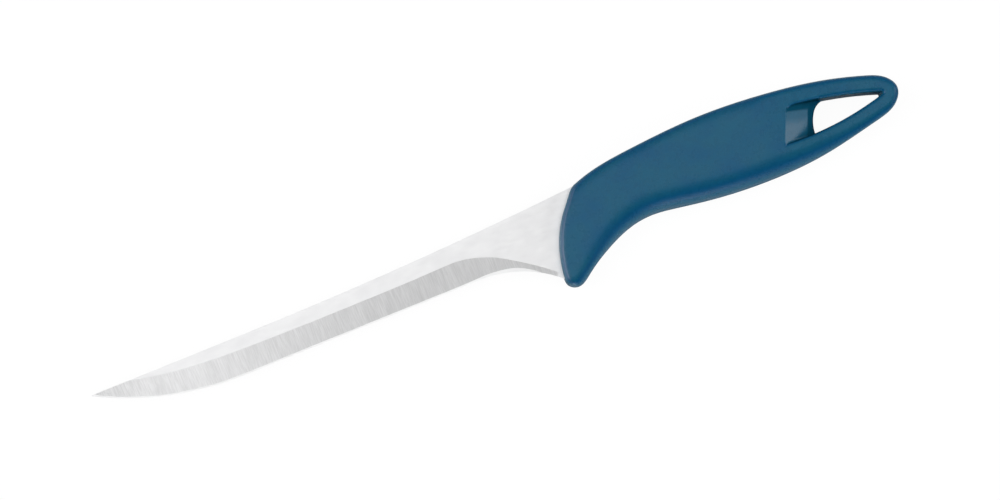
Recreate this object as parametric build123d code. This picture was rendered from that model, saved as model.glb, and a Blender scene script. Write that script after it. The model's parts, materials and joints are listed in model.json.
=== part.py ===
from build123d import *

import os
from math import radians, sqrt, tan

os.makedirs("parts", exist_ok=True)

# A fillet knife: a stainless blade whose tang is moulded into a plastic handle.
# It lies on its side. X runs from the tip to the tail of the handle, Y from the cutting edge to
# the spine and Z through the thickness. While it is drawn, X is zero where the line of the
# cutting edge meets the handle, Y is zero on that line and Z is zero in the middle of the steel.

# Driving dimensions of the blade, in millimetres and degrees
BLADE_LENGTH = 180.0
BLADE_WIDTH = 14.0
BLADE_THICKNESS = 1.5
SWEEP_RADIUS = 117.0
TIP_ROUND = 0.15
SPINE_STRAIGHT = 60.0
HEEL_LENGTH = 31.5
BEVEL_HEIGHT = 8.8
EDGE_ANGLE = 17.0

# Driving dimensions of the tang, which the handle hides
TANG_WIDTH = 12.0
TANG_HOLE = 6.0
TANG_HOLE_COUNT = 3
TANG_TO_HANG_HOLE = 10.0
TANG_STEP = 1.5
SHOULDER_DEPTH = 4.5
SHOULDER_ROUND = 2.0
HEEL_LAND = 2.0

# Driving dimensions of the handle
HANDLE_LENGTH = 139.6
HANDLE_DEPTH = 41.2
HANDLE_THICKNESS = 18.0
GUARD_LEAD = 2.4
GUARD_DROP = 15.9
RIM_ROUND = 2.2
BELLY_STAND_OUT = 0.3
FACE_SKIM = 0.12

# Driving dimensions of the hang hole and of the sloping faces that lead into it
HOLE_LENGTH = 42.5
HOLE_WIDTH = 12.6
HOLE_TO_TAIL = 4.8
HOLE_CORNER_ROUND = 6.5
HOLE_TIP_ROUND = 0.5
HOLE_RIM_ROUND = 1.2
NOSE_THICKNESS = 4.4
NOSE_LAND = 1.2
NOSE_ROUND = 1.9

# How far a cutting body runs past what it cuts
OVERRUN = 5.0

# The outline of the handle goes round in three stretches. Each point is a share of the length
# from the front of the guard to the tail, and a share of the depth from the lowest point of the
# guard to the highest point of the back.
back_shares = (
    (0.114, 0.850),
    (0.157, 0.896),
    (0.286, 0.961),
    (0.472, 1.000),
    (0.658, 0.968),
    (0.816, 0.891),
    (0.931, 0.786),
    (0.984, 0.692),
    (1.000, 0.585),
    (0.981, 0.459),
)
# On the belly each point has two more shares: half the thickness there, as a share of half the
# greatest thickness, and the rounding of the belly, as a share of that half thickness.
belly_shares = (
    (0.916, 0.371, 0.76, 0.50),
    (0.773, 0.274, 0.86, 0.72),
    (0.601, 0.237, 1.00, 0.88),
    (0.443, 0.272, 1.00, 0.90),
    (0.343, 0.323, 1.00, 0.90),
    (0.279, 0.347, 1.00, 0.90),
    (0.214, 0.318, 1.00, 0.88),
    (0.143, 0.221, 1.00, 0.78),
    (0.064, 0.058, 1.00, 0.60),
)
guard_shares = (
    (0.028, 0.000),
    (0.004, 0.046),
    (0.001, 0.146),
    (0.019, 0.400),
    (0.052, 0.619),
    (0.087, 0.767),
)
# The sections just past the tail and just past the guard, with the same four shares
tail_end_share = (1.040, 0.470, 0.72, 0.40)
guard_end_share = (-0.060, -0.160, 1.00, 0.50)

# Where the spine and the heel of the blade go into the handle, and how high the hang hole sits
spine_entry_share = back_shares[0]
heel_entry_share = (0.008, 0.085)
hole_height_share = 0.479
# The rounding of the tang's corners, as a share of the step down to the tang
tang_round_share = 0.800

# The grind of the blade, station by station: how far from the handle as a share of the blade's
# length, the height of the bevel as a share of its usual height, then half the steel left at the
# foot of the bevel and at the sharpened edge, as shares of half the blade's thickness.
grind_shares = (
    (1.025, 2.180, 0.22, 0.04),
    (0.914, 1.568, 0.22, 0.04),
    (0.858, 1.335, 0.22, 0.04),
    (0.803, 1.185, 0.22, 0.04),
    (0.736, 1.080, 0.22, 0.04),
    (0.647, 1.028, 0.22, 0.04),
    (0.536, 1.000, 0.22, 0.04),
    (0.381, 1.011, 0.22, 0.04),
    (0.269, 1.040, 0.22, 0.04),
    (0.214, 1.068, 0.22, 0.04),
    (0.186, 1.023, 0.25, 0.04),
    (0.158, 0.875, 0.31, 0.04),
    (0.125, 0.591, 0.42, 0.05),
    (0.092, 0.170, 0.55, 0.14),
    (0.058, -0.318, 0.72, 0.60),
    (0.031, -0.750, 0.88, 1.15),
    (0.011, -1.125, 1.00, 1.40),
)
# A grinding surface runs on past its edges by this share of its height
grind_run_share = 0.35

# The hang hole's corners as shares of its length and width: the lower front corner, the upper
# front corner, the middle of the upper side, the tip where both sides would meet, and the middle
# of the lower side
hole_shares = ((0.000, 0.000), (0.122, 1.000), (0.536, 0.792), (1.000, 0.343), (0.606, 0.054))
# The nose of the web, seen from the side of the handle, as shares of the same, and the point on
# the upper side of the hole where the rounded upper corner of the nose ends
nose_shares = ((0.315, -0.077), (0.337, 0.332), (0.381, 0.605))
nose_corner_share = (0.490, 0.802)


def handle_point(along, up):
    """A point of the handle, seen from its side, from its two shares."""
    return Vector(along * HANDLE_LENGTH - GUARD_LEAD, up * HANDLE_DEPTH - GUARD_DROP)


def hole_point(along, up):
    """A point of the hang hole from its shares of the hole's length and width."""
    tail = handle_point(1, hole_height_share)
    return tail + Vector((along - 1) * HOLE_LENGTH - HOLE_TO_TAIL, up * HOLE_WIDTH)


def handle_plan():
    """The handle seen from its side: one closed smooth curve."""
    back = [handle_point(along, up) for along, up in back_shares]
    belly = [handle_point(along, up) for along, up, half, rounding in belly_shares]
    guard = [handle_point(along, up) for along, up in guard_shares]
    return make_face(Spline(*back, *belly, *guard, periodic=True))


def handle_section(along, up, half_share, rounding_share):
    """A cross-section of the handle, rounded at the belly, that stands out past the outline."""
    corner = handle_point(along, up) - Vector(0, BELLY_STAND_OUT)
    half = (HANDLE_THICKNESS / 2 + FACE_SKIM) * half_share
    block = Rectangle(HANDLE_DEPTH + OVERRUN, 2 * half, align=(Align.MIN, Align.CENTER))
    block = fillet(block.vertices().sort_by(Axis.X)[:2], half * rounding_share)
    return Plane(origin=corner, x_dir=(0, 1, 0), z_dir=(1, 0, 0)) * block


def standing(face, height):
    """The straight body that a flat outline makes, half above the middle plane, half below."""
    return extrude(Pos(0, 0, -height / 2) * face, amount=height)


def handle_block():
    """The handle without its holes: the outline, the shaped sides and the rounded rim."""
    stations = (tail_end_share, *belly_shares, guard_end_share)
    sides = loft([handle_section(*station) for station in stations])
    block = sides & standing(handle_plan(), HANDLE_THICKNESS + OVERRUN)
    wall = block.faces().filter_by(GeomType.EXTRUSION)[0]
    block = fillet(wall.edges().filter_by(GeomType.LINE, reverse=True), RIM_ROUND)
    length = HANDLE_LENGTH + OVERRUN
    flats = Box(2 * length, 2 * length, HANDLE_THICKNESS)
    return block & flats


def hole_plan():
    """The hang hole on the face of the handle: a leaf with a slanting front side."""
    low_front, high_front, upper, tip, lower = [hole_point(*share) for share in hole_shares]
    front = Line(low_front, high_front)
    top = ThreePointArc(high_front, upper, tip)
    bottom = ThreePointArc(tip, lower, low_front)
    leaf = make_face([front, top, bottom])
    leaf = fillet(leaf.vertices().sort_by_distance(high_front)[0], HOLE_CORNER_ROUND)
    return fillet(leaf.vertices().sort_by_distance(tip)[0], HOLE_TIP_ROUND)


def ramp_wedge():
    """The two slopes, one in from each face, and the level land between them."""
    low_front, high_front = [hole_point(*share) for share in hole_shares[:2]]
    slant = (high_front - low_front).normalized()
    across = Vector(slant.Y, -slant.X)
    ramp_length = (hole_point(*nose_shares[1]) - low_front).dot(across) - NOSE_LAND
    face = HANDLE_THICKNESS / 2 + FACE_SKIM
    land = NOSE_THICKNESS / 2
    slope = (face - land) / ramp_length
    upper = [(-OVERRUN, face + OVERRUN * slope), (ramp_length, land), (HOLE_LENGTH, land)]
    lower = [(along, -high) for along, high in reversed(upper)]
    section = Plane(origin=low_front - slant * HOLE_WIDTH, x_dir=across, z_dir=slant)
    outline = section * make_face(Polyline(*upper, *lower, close=True))
    return extrude(outline, amount=3 * HOLE_WIDTH)


def nose_plan():
    """Seen from the side of the handle, the web fills the front of the hole and ends in a curve."""
    low, middle, high = [hole_point(*share) for share in nose_shares]
    end = hole_point(*nose_corner_share)
    upper_back = end + Vector(-HOLE_LENGTH, HOLE_WIDTH)
    lower_back = low - Vector(HOLE_LENGTH, HOLE_WIDTH)
    curve = ThreePointArc(low, middle, high)
    corner = TangentArc(high, end, tangent=curve % 1)
    rest = Polyline(end, upper_back, lower_back, low)
    return make_face([curve, corner, rest])


def hole_web():
    """The web at the front of the hang hole, with its nose rounded."""
    web = ramp_wedge() & standing(nose_plan(), HANDLE_THICKNESS + OVERRUN)
    nose = web.faces().filter_by(GeomType.CYLINDER)[0]
    return fillet(nose.edges().filter_by(GeomType.CIRCLE), NOSE_ROUND)


def sweep_start():
    """Where the straight edge ends and the sweep up to the tip begins."""
    return sqrt(SWEEP_RADIUS**2 - (SWEEP_RADIUS - BLADE_WIDTH) ** 2) - BLADE_LENGTH


def lower_edge(x):
    """The height of the cutting edge: the sweep to the tip, the straight and the heel."""
    before = sweep_start() - x
    if before > 0:
        return SWEEP_RADIUS - sqrt(SWEEP_RADIUS**2 - before**2)
    heel = handle_point(*heel_entry_share)
    run = heel.X + HEEL_LENGTH
    radius = (run**2 + heel.Y**2) / (-2 * heel.Y)
    past = max(x + HEEL_LENGTH, 0)
    return sqrt(radius**2 - past**2) - radius


def blade_plan():
    """The blade and its tang seen from the side."""
    tip = Vector(-BLADE_LENGTH, BLADE_WIDTH)
    bend = tip + Vector(SPINE_STRAIGHT, 0)
    entry = handle_point(*spine_entry_share)
    shoulder = entry + Vector(SHOULDER_ROUND, -SHOULDER_ROUND)
    heel = handle_point(*heel_entry_share)
    heel_start = Vector(-HEEL_LENGTH, 0)
    sweep = Vector(sweep_start(), 0)
    tang_top = shoulder.Y - TANG_STEP
    tang_foot = tang_top - TANG_WIDTH
    tang_end = hole_point(0, 0).X - TANG_TO_HANG_HOLE
    inner = Vector(SHOULDER_DEPTH, tang_foot)
    corner = heel + Vector(HEEL_LAND, 0)
    outline = [
        Line(tip, bend),
        TangentArc(bend, entry, tangent=(1, 0)),
        TangentArc(entry, shoulder, tangent=(1, 0)),
        Polyline(
            shoulder,
            (shoulder.X, tang_top),
            (tang_end, tang_top),
            (tang_end, tang_foot),
            inner,
            corner,
            heel,
        ),
        TangentArc(heel_start, heel, tangent=(1, 0)),
        Line(heel_start, sweep),
        TangentArc(sweep, tip, tangent=(-1, 0)),
    ]
    face = make_face(outline)
    places = ((shoulder.X, tang_top), (tang_end, tang_top), (tang_end, tang_foot), inner, corner)
    for place in places:
        spot = face.vertices().sort_by_distance(Vector(*place))[0]
        face = fillet(spot, TANG_STEP * tang_round_share)
    return fillet(face.vertices().sort_by_distance(tip)[0], TIP_ROUND)


def grinding_body(foot, head):
    """What a grinding surface takes off one side: all that lies above the ruled surface."""
    surface = Face.make_surface_from_curves(Spline(*foot), Spline(*head))
    return extrude(surface, amount=OVERRUN, dir=(0, 0, 1))


def bevel_cut():
    """The long bevel from the bevel line down to the edge, which runs out near the handle."""
    half = BLADE_THICKNESS / 2
    foot, head = [], []
    for along, up, edge_share, apex_share in grind_shares:
        x = -along * BLADE_LENGTH
        low = Vector(x, lower_edge(x), half * edge_share)
        high = Vector(x, up * BEVEL_HEIGHT, half)
        run = (high - low) * grind_run_share
        foot.append(low - run)
        head.append(high + run)
    return grinding_body(foot, head)


def edge_cut():
    """The sharpened edge at the foot of the bevel."""
    half = BLADE_THICKNESS / 2
    steep = Vector(0, half / tan(radians(EDGE_ANGLE)), half)
    foot, head = [], []
    for along, up, edge_share, apex_share in grind_shares:
        x = -along * BLADE_LENGTH
        apex = Vector(x, lower_edge(x), half * apex_share)
        foot.append(apex - steep * grind_run_share)
        head.append(apex + steep)
    return grinding_body(foot, head)


def blade():
    """The steel strip with its bevels, its edge and its tang."""
    steel = standing(blade_plan(), BLADE_THICKNESS)
    for cut in (bevel_cut(), edge_cut()):
        steel = steel - cut - mirror(cut, about=Plane.XY)
    first = handle_point(*spine_entry_share).X + SHOULDER_ROUND
    last = hole_point(0, 0).X - TANG_TO_HANG_HOLE
    pitch = (last - first) / TANG_HOLE_COUNT
    height = handle_point(*spine_entry_share).Y - SHOULDER_ROUND - TANG_STEP - TANG_WIDTH / 2
    for number in range(TANG_HOLE_COUNT):
        place = Pos(first + pitch * (number + 0.5), height, 0)
        steel -= place * Cylinder(TANG_HOLE / 2, BLADE_THICKNESS + OVERRUN)
    return steel


def handle(steel):
    """The moulding: the block with its hang hole and the web in it, less the room for the steel."""
    block = handle_block()
    drilled = block - standing(hole_plan(), HANDLE_THICKNESS + OVERRUN)
    around = (drilled.edges() - block.edges()).filter_by(GeomType.LINE, reverse=True)
    drilled = fillet(around.sort_by(Axis.Z), HOLE_RIM_ROUND)
    return drilled + (hole_web() & block) - steel


def on_its_side(steel, moulding):
    """Both pieces with the middle of their common box at zero and the lower face at zero."""
    box = Compound([*steel.solids(), *moulding.solids()]).bounding_box()
    middle = box.center()
    place = Pos(-middle.X, -middle.Y, HANDLE_THICKNESS / 2)
    return place * steel, place * moulding


blade_steel = blade()
blade_steel, handle_moulding = on_its_side(blade_steel, handle(blade_steel))
export_step(blade_steel, "parts/blade.step")
export_step(handle_moulding, "parts/handle.step")
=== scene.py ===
import json
import math

import bpy
from mathutils import Matrix, Vector


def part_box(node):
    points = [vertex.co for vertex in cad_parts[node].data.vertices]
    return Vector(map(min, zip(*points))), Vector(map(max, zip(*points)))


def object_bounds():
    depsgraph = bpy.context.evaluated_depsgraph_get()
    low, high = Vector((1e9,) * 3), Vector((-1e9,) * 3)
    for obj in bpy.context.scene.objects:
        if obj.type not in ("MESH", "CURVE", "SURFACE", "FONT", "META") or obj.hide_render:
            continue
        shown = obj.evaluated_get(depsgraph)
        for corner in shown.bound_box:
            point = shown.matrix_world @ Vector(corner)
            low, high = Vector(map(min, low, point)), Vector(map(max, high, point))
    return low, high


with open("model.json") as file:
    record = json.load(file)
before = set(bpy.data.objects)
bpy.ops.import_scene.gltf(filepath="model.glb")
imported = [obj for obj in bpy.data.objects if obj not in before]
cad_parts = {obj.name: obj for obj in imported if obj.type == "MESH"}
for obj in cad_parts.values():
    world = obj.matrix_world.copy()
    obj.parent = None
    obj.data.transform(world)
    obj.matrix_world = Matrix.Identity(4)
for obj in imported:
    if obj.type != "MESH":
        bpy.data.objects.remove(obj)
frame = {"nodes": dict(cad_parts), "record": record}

cad_low, cad_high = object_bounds()

# The blade
# One strip of stainless steel, blanked, ground to a long bevel on both sides and sharpened.
# Its rear end is the tang, which the plastic of the handle is moulded round.

blade = frame["nodes"]["blade"]
tip_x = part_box("blade")[0].x
guard_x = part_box("handle")[0].x

# The flat: satin, with duller clouds and fine streaks along the blade
flat_colour = (0.858, 0.859, 0.864)
flat_cloud_colour = (0.818, 0.818, 0.826)
flat_roughness = (0.32, 0.40)
flat_cloud_size = (0.009, 0.005, 0.005)
flat_streak_size = (0.0040, 0.00022, 0.00022)
flat_streak_relief = 0.25

# The bevel: marks and broader bands square to the edge, and paler from near the heel to the tip as a
# painted reflection
bevel_heel_colour = (0.692, 0.693, 0.697)
bevel_tip_colour = (0.915, 0.916, 0.922)
bevel_heel_gap = 0.03
bevel_roughness = (0.36, 0.48)
bevel_mark_size = (0.00042, 0.0055, 0.0055)
bevel_mark_spread = (0.32, 0.68)
bevel_mark_tone = (0.925, 1.07)
bevel_band_size = (0.0021, 0.024, 0.024)
bevel_band_tone = (0.97, 1.03)

# The sharp edge: partly a plain bright colour, a painted glint, so that it is pale whatever it
# mirrors
edge_colour = (0.900, 0.901, 0.904)
edge_metallic = 0.4

# How far the surface leans towards the cutting edge where the bevel and the sharp edge begin
bevel_lean = (0.020, 0.034)
edge_lean = (0.140, 0.200)

steel_relief_strength = 0.16
steel_relief_depth = 0.00004

# How far most of the noise is spread, from its dark to its light grains
noise_spread = (0.30, 0.70)


def new_material(name):
    """A material whose tree holds a principled shader and its output."""
    material = bpy.data.materials.new(name)
    material.use_nodes = True
    return material, material.node_tree, material.node_tree.nodes["Principled BSDF"]


def add_node(tree, kind, **settings):
    """A new node of that kind with its settings."""
    node = tree.nodes.new(kind)
    for name, value in settings.items():
        setattr(node, name, value)
    return node


def feed(tree, socket, value):
    """Gives a socket its value: a number, a vector, a colour or another node's output."""
    if isinstance(value, bpy.types.NodeSocket):
        tree.links.new(value, socket)
    elif hasattr(value, "__len__") and socket.type == "RGBA":
        socket.default_value = (*value, 1)
    else:
        socket.default_value = value


def parts(tree, vector):
    """The X, Y and Z of a vector, found by their names."""
    node = add_node(tree, "ShaderNodeSeparateXYZ")
    feed(tree, node.inputs[0], vector)
    return node.outputs


def calculated(tree, operation, *values):
    """The output of a math node on one to three values."""
    node = add_node(tree, "ShaderNodeMath", operation=operation)
    for socket, value in zip(node.inputs, values):
        feed(tree, socket, value)
    return node.outputs[0]


def combined(tree, operation, first, *others):
    """The first value combined with the others one by one."""
    for value in others:
        first = calculated(tree, operation, first, value)
    return first


def gained(tree, value, *zones):
    """A value with each zone's gain added, as far as the surface lies in that zone."""
    for zone, gain in zones:
        value = calculated(tree, "MULTIPLY_ADD", zone, gain, value)
    return value


def between(tree, value, limits, results=(0.0, 1.0)):
    """Goes smoothly from one result to the other while a value goes from limit to limit."""
    node = add_node(tree, "ShaderNodeMapRange", interpolation_type="SMOOTHSTEP")
    for socket, number in zip(node.inputs, (value, *limits, *results)):
        feed(tree, socket, number)
    return node.outputs[0]


def mixed(tree, share, first, second):
    """Two colours, mixed by a share. A mix node has them in inputs 6 and 7 and output 2."""
    node = add_node(tree, "ShaderNodeMix", data_type="RGBA")
    feed(tree, node.inputs[0], share)
    feed(tree, node.inputs[6], first)
    feed(tree, node.inputs[7], second)
    return node.outputs[2]


def toned(tree, colour, tone):
    """A colour made lighter or darker by a factor."""
    node = add_node(tree, "ShaderNodeVectorMath", operation="SCALE")
    feed(tree, node.inputs[0], colour)
    feed(tree, node.inputs["Scale"], tone)
    return node.outputs[0]


def speckle(tree, place, size, detail=2.0, rough=0.5):
    """Noise whose grains have that size in metres along X, Y and Z."""
    stretch = add_node(tree, "ShaderNodeMapping")
    feed(tree, stretch.inputs["Vector"], place)
    stretch.inputs["Scale"].default_value = [1 / length for length in size]
    noise = add_node(tree, "ShaderNodeTexNoise")
    feed(tree, noise.inputs["Vector"], stretch.outputs[0])
    noise.inputs["Scale"].default_value = 1.0
    noise.inputs["Detail"].default_value = detail
    noise.inputs["Roughness"].default_value = rough
    return noise.outputs[0]


def relief(tree, height, strength, depth):
    """A bump node for that height. Its Normal socket can take a softened surface."""
    bump = add_node(tree, "ShaderNodeBump")
    bump.inputs["Strength"].default_value = strength
    bump.inputs["Distance"].default_value = depth
    feed(tree, bump.inputs["Height"], height)
    return bump


def stainless_steel():
    """Satin steel: a cloudy flat, a bevel with marks square to the edge, painted paler towards the
    tip as a reflection, and an edge partly painted bright as a glint.
    """
    material, tree, shader = new_material("stainless_steel")
    spot = add_node(tree, "ShaderNodeTexCoord")
    place = spot.outputs["Object"]
    lean = calculated(tree, "MULTIPLY", parts(tree, spot.outputs["Normal"])["Y"], -1.0)
    on_bevel = between(tree, lean, bevel_lean)
    on_edge = between(tree, lean, edge_lean)
    near_tip = between(tree, parts(tree, place)["X"], (guard_x - bevel_heel_gap, tip_x))
    clouds = speckle(tree, place, flat_cloud_size)
    streaks = speckle(tree, place, flat_streak_size, detail=3.0)
    marks = speckle(tree, place, bevel_mark_size, detail=4.0, rough=0.66)
    bands = speckle(tree, place, bevel_band_size)

    flat = mixed(tree, between(tree, clouds, noise_spread), flat_cloud_colour, flat_colour)
    mark_tone = between(tree, marks, bevel_mark_spread, bevel_mark_tone)
    band_tone = between(tree, bands, noise_spread, bevel_band_tone)
    # Painted reflection: the bevel's colour grows paler from near the heel to the tip
    bevel = mixed(tree, near_tip, bevel_heel_colour, bevel_tip_colour)
    bevel = toned(tree, bevel, combined(tree, "MULTIPLY", mark_tone, band_tone))
    # The sharp edge takes its painted glint here
    colour = mixed(tree, on_edge, mixed(tree, on_bevel, flat, bevel), edge_colour)
    feed(tree, shader.inputs["Base Color"], colour)
    metallic = gained(tree, 1.0, (on_edge, edge_metallic - 1.0))
    feed(tree, shader.inputs["Metallic"], metallic)

    smooth = between(tree, streaks, noise_spread, flat_roughness)
    coarse = between(tree, marks, noise_spread, bevel_roughness)
    coarser = calculated(tree, "SUBTRACT", coarse, smooth)
    feed(tree, shader.inputs["Roughness"], gained(tree, smooth, (on_bevel, coarser)))
    scratches = combined(tree, "MULTIPLY", marks, on_bevel)
    height = gained(tree, scratches, (streaks, flat_streak_relief))
    bump = relief(tree, height, steel_relief_strength, steel_relief_depth)
    feed(tree, shader.inputs["Normal"], bump.outputs[0])
    return material


blade.material_slots[0].material = stainless_steel()

# The handle
# One moulding of blue plastic round the tang, the same on both sides. The mould leaves a fine matt
# grain on its broad faces, a glossier front of the guard and smoother slopes into the hang hole.

handle = frame["nodes"]["handle"]
mounts = {mount["name"]: mount["pos_m"] for mount in frame["record"]["mounts"]}
hole_middle = mounts["hang_hole"]

plastic_colour = (0.0012, 0.055, 0.132)
# The plain colour, and a paler one for faded clouds that are partly wear and partly a painted sheen,
# also used as painted light on the slopes and rounded edges
plastic_faded_and_sheen_colour = (0.0040, 0.0685, 0.126)
plastic_roughness = (0.26, 0.31)
plastic_gloss = 0.22

# The fine grain of the mould, pebbles and patches in it, and the clouds in which it is faded, partly
# as wear and partly as a painted sheen
grain_size = (0.00020, 0.00020, 0.00020)
grain_spread = (0.25, 0.75)
grain_tone = (0.78, 1.22)
pebble_size = (0.00055, 0.00055, 0.00055)
pebble_relief = 0.8
patch_size = (0.0025, 0.0025, 0.0025)
patch_tone = (0.97, 1.03)
faded_and_sheen_cloud_size = (0.014, 0.009, 0.009)
faded_and_sheen_cloud_spread = (0.25, 0.65)
faded_and_sheen_cloud_share = (0.35, 1.0)
plastic_relief_strength = 0.40
plastic_relief_depth = 0.00005

# How level the surface is, from 1 on the broad faces to 0 on the sides, where it is faded, partly as
# wear and partly as a painted sheen, where the rounded edge is painted paler and lighter as painted
# light, and where it stands upright and is rougher
faded_and_sheen_level = (0.86, 0.99)
painted_edge_light_level = (0.80, 0.55)
painted_edge_light_tone = 0.20
upright_level = (0.45, 0.15)
upright_roughness = 0.30

# The glossy front of the guard: how far back it fades out, and how far it faces the blade
guard_reach = (0.030, 0.010)
guard_lean = (0.06, 0.30)
guard_gloss = 2.6
guard_roughness = 0.14

# The dull rounding along the belly, painted darker as painted shade: how far it turns down where it
# begins and where it ends
belly_start = (-0.03, -0.20)
belly_end = (-0.62, -0.45)
belly_gloss = -0.70
belly_shade_tone = -0.13

# The radii that the edges are rounded by in the shading, the way behind the guard's front in
# which the second takes over, and the way to the hole's middle in which the third does
guard_softness = 0.0040
grip_softness = 0.0060
hole_softness = 0.0014
grip_softness_start = (0.004, 0.012)
hole_softness_start = (-0.032, -0.026)

# The front of the hang hole, measured from its middle, and the slopes in it: how far they face
# the tail, and the gloss that they gain towards the belly and lose towards the spine. The slopes are
# also painted paler and lighter, as painted light
hole_front_x = (-0.026, -0.008)
hole_front_y = (-0.0064, 0.0096)
slope_lean = (0.25, 0.35)
slope_light_tone = 0.08
slope_roughness = -0.12
slope_gloss = (0.10, -0.55)
slope_gloss_end = (-0.0045, 0.0)

# The rounding that the slopes end in, painted dark as painted shade and without gloss: past a line
# along their spine side, where they are steep, and past a line across the nose of the web, near the
# middle of its thickness
rounding_fall = 0.20
rounding_start = (0.0011, 0.0023)
steep_level = (0.82, 0.66)
nose_turn = 0.413
nose_start = (-0.01519, -0.01449)
nose_reach = 0.0060
hollow_shade_tone = -0.40


def measured_from(tree, place, start):
    """The X, Y and Z of a place, measured from a starting point."""
    way = add_node(tree, "ShaderNodeVectorMath", operation="SUBTRACT")
    feed(tree, way.inputs[0], place)
    feed(tree, way.inputs[1], start)
    return parts(tree, way.outputs[0])


def inside(tree, value, low, high):
    """1 where a value lies between two limits, and 0 elsewhere."""
    above = calculated(tree, "GREATER_THAN", value, low)
    return combined(tree, "MULTIPLY", above, calculated(tree, "LESS_THAN", value, high))


def slope_zones(tree, from_hole, facing, level):
    """The front of the hang hole, the slopes in it, their gloss, and the painted shade of the
    rounding they end in.
    """
    along, across = from_hole["X"], from_hole["Y"]
    in_length = inside(tree, along, *hole_front_x)
    in_hole = combined(tree, "MULTIPLY", in_length, inside(tree, across, *hole_front_y))
    slope = combined(tree, "MULTIPLY", between(tree, facing["X"], slope_lean), in_hole)
    to_spine = gained(tree, across, (along, rounding_fall))
    gloss = between(tree, to_spine, slope_gloss_end, slope_gloss)

    side = combined(tree, "MULTIPLY", between(tree, to_spine, rounding_start), slope)
    steep = combined(tree, "MULTIPLY", between(tree, level, steep_level), in_hole)
    to_nose = gained(tree, along, (across, -nose_turn))
    deep = calculated(tree, "LESS_THAN", calculated(tree, "ABSOLUTE", from_hole["Z"]), nose_reach)
    nose = combined(tree, "MULTIPLY", between(tree, to_nose, nose_start), deep, in_hole)
    return in_hole, slope, gloss, combined(tree, "MAXIMUM", side, steep, nose)


def softened_edges(tree, behind_guard, from_hole):
    """The surface with its edges rounded: most along the grip and least at the hang hole."""
    soft = add_node(tree, "ShaderNodeBevel", samples=8)
    radius = between(tree, behind_guard, grip_softness_start, (guard_softness, grip_softness))
    loss = (0.0, grip_softness - hole_softness)
    sharper = between(tree, from_hole["X"], hole_softness_start, loss)
    feed(tree, soft.inputs["Radius"], calculated(tree, "SUBTRACT", radius, sharper))
    return soft.outputs[0]


def blue_plastic():
    """Matt plastic with a fine grain: each zone of the handle has its own gloss, and some zones have
    painted light and shade in their tone.
    """
    material, tree, shader = new_material("blue_plastic")
    spot = add_node(tree, "ShaderNodeTexCoord")
    place = spot.outputs["Object"]
    facing = parts(tree, spot.outputs["Normal"])
    level = calculated(tree, "ABSOLUTE", facing["Z"])
    behind_guard = measured_from(tree, place, (guard_x, 0.0, 0.0))["X"]
    from_hole = measured_from(tree, place, hole_middle)
    grain = speckle(tree, place, grain_size, detail=3.0, rough=0.6)
    pebbles = speckle(tree, place, pebble_size, detail=1.0)
    patches = speckle(tree, place, patch_size, detail=3.0)
    clouds = speckle(tree, place, faded_and_sheen_cloud_size)

    in_hole, slope, slope_shine, hollow_shade = slope_zones(tree, from_hole, facing, level)
    outside = calculated(tree, "SUBTRACT", 1.0, in_hole)
    soft = softened_edges(tree, behind_guard, from_hole)
    # The belly's rounding is found from the softened surface, and painted darker as painted shade
    turned = parts(tree, soft)["Y"]
    past_start, before_end = [between(tree, turned, limits) for limits in (belly_start, belly_end)]
    belly = combined(tree, "MULTIPLY", past_start, before_end, outside)
    towards_blade = calculated(tree, "MULTIPLY", facing["X"], -1.0)
    guard = between(tree, towards_blade, guard_lean)
    guard = combined(tree, "MULTIPLY", guard, between(tree, behind_guard, guard_reach))
    # The rounded edges outside the hole are painted paler and lighter, as painted light
    painted_edge_light = between(tree, level, painted_edge_light_level)
    painted_edge_light_outside = combined(tree, "MULTIPLY", painted_edge_light, outside)
    # Faded clouds on the broad faces: partly wear, partly a painted sheen
    faded_and_sheen = between(tree, clouds, faded_and_sheen_cloud_spread, faded_and_sheen_cloud_share)
    faded_and_sheen = combined(tree, "MULTIPLY", faded_and_sheen, between(tree, level, faded_and_sheen_level))

    # Paler where faded, and as painted light on the slopes and the rounded edges
    paler = combined(tree, "MAXIMUM", faded_and_sheen, slope, painted_edge_light)
    colour = mixed(tree, paler, plastic_colour, plastic_faded_and_sheen_colour)
    # Painted light on the slopes and rounded edges, painted shade in the hole's rounding and along
    # the belly
    hole_painted_tones = (slope, slope_light_tone), (hollow_shade, hollow_shade_tone)
    rim_painted_tones = (belly, belly_shade_tone), (painted_edge_light_outside, painted_edge_light_tone)
    painted_zone_tone = gained(tree, 1.0, *hole_painted_tones, *rim_painted_tones)
    mould_tone = between(tree, grain, grain_spread, grain_tone)
    patch = between(tree, patches, noise_spread, patch_tone)
    tone = combined(tree, "MULTIPLY", mould_tone, patch, painted_zone_tone)
    feed(tree, shader.inputs["Base Color"], toned(tree, colour, tone))

    matt = between(tree, patches, noise_spread, plastic_roughness)
    upright = between(tree, level, upright_level)
    zone_roughness = (upright, upright_roughness), (slope, slope_roughness), (guard, guard_roughness)
    feed(tree, shader.inputs["Roughness"], gained(tree, matt, *zone_roughness))
    guard_shine = gained(tree, 1.0, (guard, guard_gloss))
    belly_shine = gained(tree, 1.0, (belly, belly_gloss))
    shine = combined(tree, "MULTIPLY", guard_shine, belly_shine)
    shine = gained(tree, shine, (slope, slope_shine))
    # No gloss in the painted shade of the hole's rounding
    even = calculated(tree, "SUBTRACT", 1.0, hollow_shade)
    shine = combined(tree, "MULTIPLY", shine, even, plastic_gloss)
    feed(tree, shader.inputs["Specular IOR Level"], shine)

    height = gained(tree, grain, (pebbles, pebble_relief))
    bump = relief(tree, height, plastic_relief_strength, plastic_relief_depth)
    feed(tree, bump.inputs["Normal"], soft)
    feed(tree, shader.inputs["Normal"], bump.outputs[0])
    return material


handle.material_slots[0].material = blue_plastic()

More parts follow.
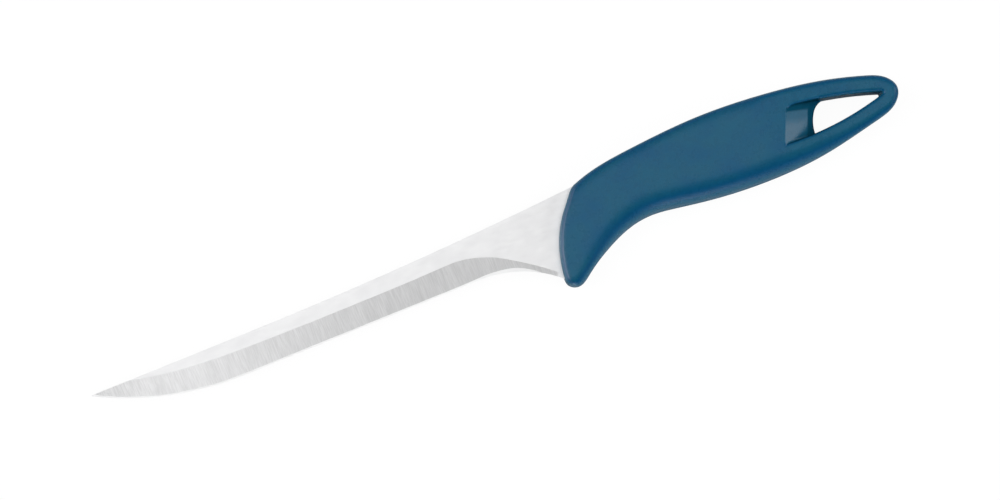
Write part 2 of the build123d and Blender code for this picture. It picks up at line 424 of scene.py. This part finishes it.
# The table
# A plain white sheet that the knife lies on. It keeps the soft shadow of the knife, and the
# rest of it is as white as paper.

table_size = 4.0
table_gap = 0.00005

# Its colour to the camera, and the darker one by which it lights the knife from below
table_colour = (0.95, 0.95, 0.95)
table_bounce_colour = (0.60, 0.60, 0.60)

# The share of its own white that the camera sees in it, and that reflections do
table_glow = 0.95
table_mirror_glow = 0.25


def white_sheet():
    """Most of what the camera sees of the sheet is its own white, the rest is the light on it."""
    material, tree, shader = new_material("white_sheet")
    shader.inputs["Roughness"].default_value = 1.0
    shader.inputs["Specular IOR Level"].default_value = 0.0
    glow = add_node(tree, "ShaderNodeEmission")
    blend = add_node(tree, "ShaderNodeMixShader")
    path = add_node(tree, "ShaderNodeLightPath").outputs
    mirrored = calculated(tree, "MAXIMUM", path["Is Glossy Ray"], path["Is Transmission Ray"])
    seen = calculated(tree, "MULTIPLY", path["Is Camera Ray"], table_glow)
    feed(tree, blend.inputs[0], gained(tree, seen, (mirrored, table_mirror_glow)))
    colour = mixed(tree, path["Is Camera Ray"], table_bounce_colour, table_colour)
    feed(tree, shader.inputs["Base Color"], colour)
    feed(tree, blend.inputs[1], shader.outputs[0])
    feed(tree, blend.inputs[2], glow.outputs[0])
    feed(tree, tree.nodes["Material Output"].inputs["Surface"], blend.outputs[0])
    return material


bpy.ops.mesh.primitive_plane_add(size=table_size, location=(0, 0, cad_low.z - table_gap))
table = bpy.context.object
table.name = "table"
table.data.materials.append(white_sheet())

# The studio light
# Four soft boxes round a grey studio with pale walls, which only reflections show, and a large
# lamp above that the knife doesn't mirror. The camera sees plain white past the table.

# Each soft box: the way to it, the angles from its middle within which it has its full strength
# and past which it has none, and that strength
soft_boxes = (
    ((-0.04, 0.10, 1.00), 10.0, 25.0, 1.29),
    ((-0.93, 0.30, 0.85), 12.0, 28.0, 3.90),
    ((0.93, -0.35, 0.60), 14.0, 28.0, 3.90),
    ((-0.30, -1.00, -0.05), 13.0, 29.0, 3.20),
)
studio_grey = 0.05

# The walls fade out where the way to them rises from the second of these heights to the first
wall_grey = 0.26
wall_top = (0.85, 0.55)

lamp_size = 1.2
lamp_height = 1.0
lamp_power = 6.6


def soft_studio(world):
    """Lights the scene by direction, and is plain white to the camera."""
    world.use_nodes = True
    tree = world.node_tree
    way_out = add_node(tree, "ShaderNodeTexCoord").outputs["Generated"]
    light = studio_grey
    for way, inner, outer, strength in soft_boxes:
        towards = add_node(tree, "ShaderNodeVectorMath", operation="DOT_PRODUCT")
        feed(tree, towards.inputs[0], way_out)
        feed(tree, towards.inputs[1], Vector(way).normalized())
        rim, full = math.cos(math.radians(outer)), math.cos(math.radians(inner))
        glow = between(tree, towards.outputs["Value"], (rim, full), (0.0, strength))
        light = calculated(tree, "ADD", glow, light)
    path = add_node(tree, "ShaderNodeLightPath").outputs
    wall = between(tree, parts(tree, way_out)["Z"], wall_top, (0.0, wall_grey))
    light = gained(tree, light, (wall, path["Is Glossy Ray"]))
    seen = calculated(tree, "MAXIMUM", path["Is Camera Ray"], path["Is Transmission Ray"])
    background = tree.nodes["Background"]
    feed(tree, background.inputs["Color"], mixed(tree, seen, light, (1.0, 1.0, 1.0)))
    background.inputs["Strength"].default_value = 1.0


scene = bpy.context.scene
if scene.world is None:
    scene.world = bpy.data.worlds.new("studio")
soft_studio(scene.world)

lamp = bpy.data.objects.new("lamp_above", bpy.data.lights.new("lamp_above", "AREA"))
lamp.data.size = lamp_size
lamp.data.energy = lamp_power
lamp.location = (0, 0, lamp_height)
lamp.visible_glossy = False
scene.collection.objects.link(lamp)

scene.view_settings.view_transform = "Standard"

# The camera
# It looks nearly straight down, leaning a little towards the cutting edge, and is turned so
# that the knife rises from lower left to upper right.

view_turn = math.radians(22.027)
view_lean = math.radians(3.0)
view_distance = 1.0
view_width = 0.3678
view_target = Vector((0.0007, 0.0027, 0.009))

right = Vector((math.cos(view_turn), -math.sin(view_turn), 0))
near = Vector((-math.sin(view_turn), -math.cos(view_turn), 0))
back = near * math.sin(view_lean) + Vector((0, 0, 1)) * math.cos(view_lean)
turned = Matrix((right, back.cross(right), back)).transposed().to_4x4()
camera = bpy.data.objects.new("camera", bpy.data.cameras.new("camera"))
camera.data.lens = camera.data.sensor_width * view_distance / view_width
camera.matrix_world = Matrix.Translation(view_target + back * view_distance) @ turned
scene.collection.objects.link(camera)
scene.camera = camera
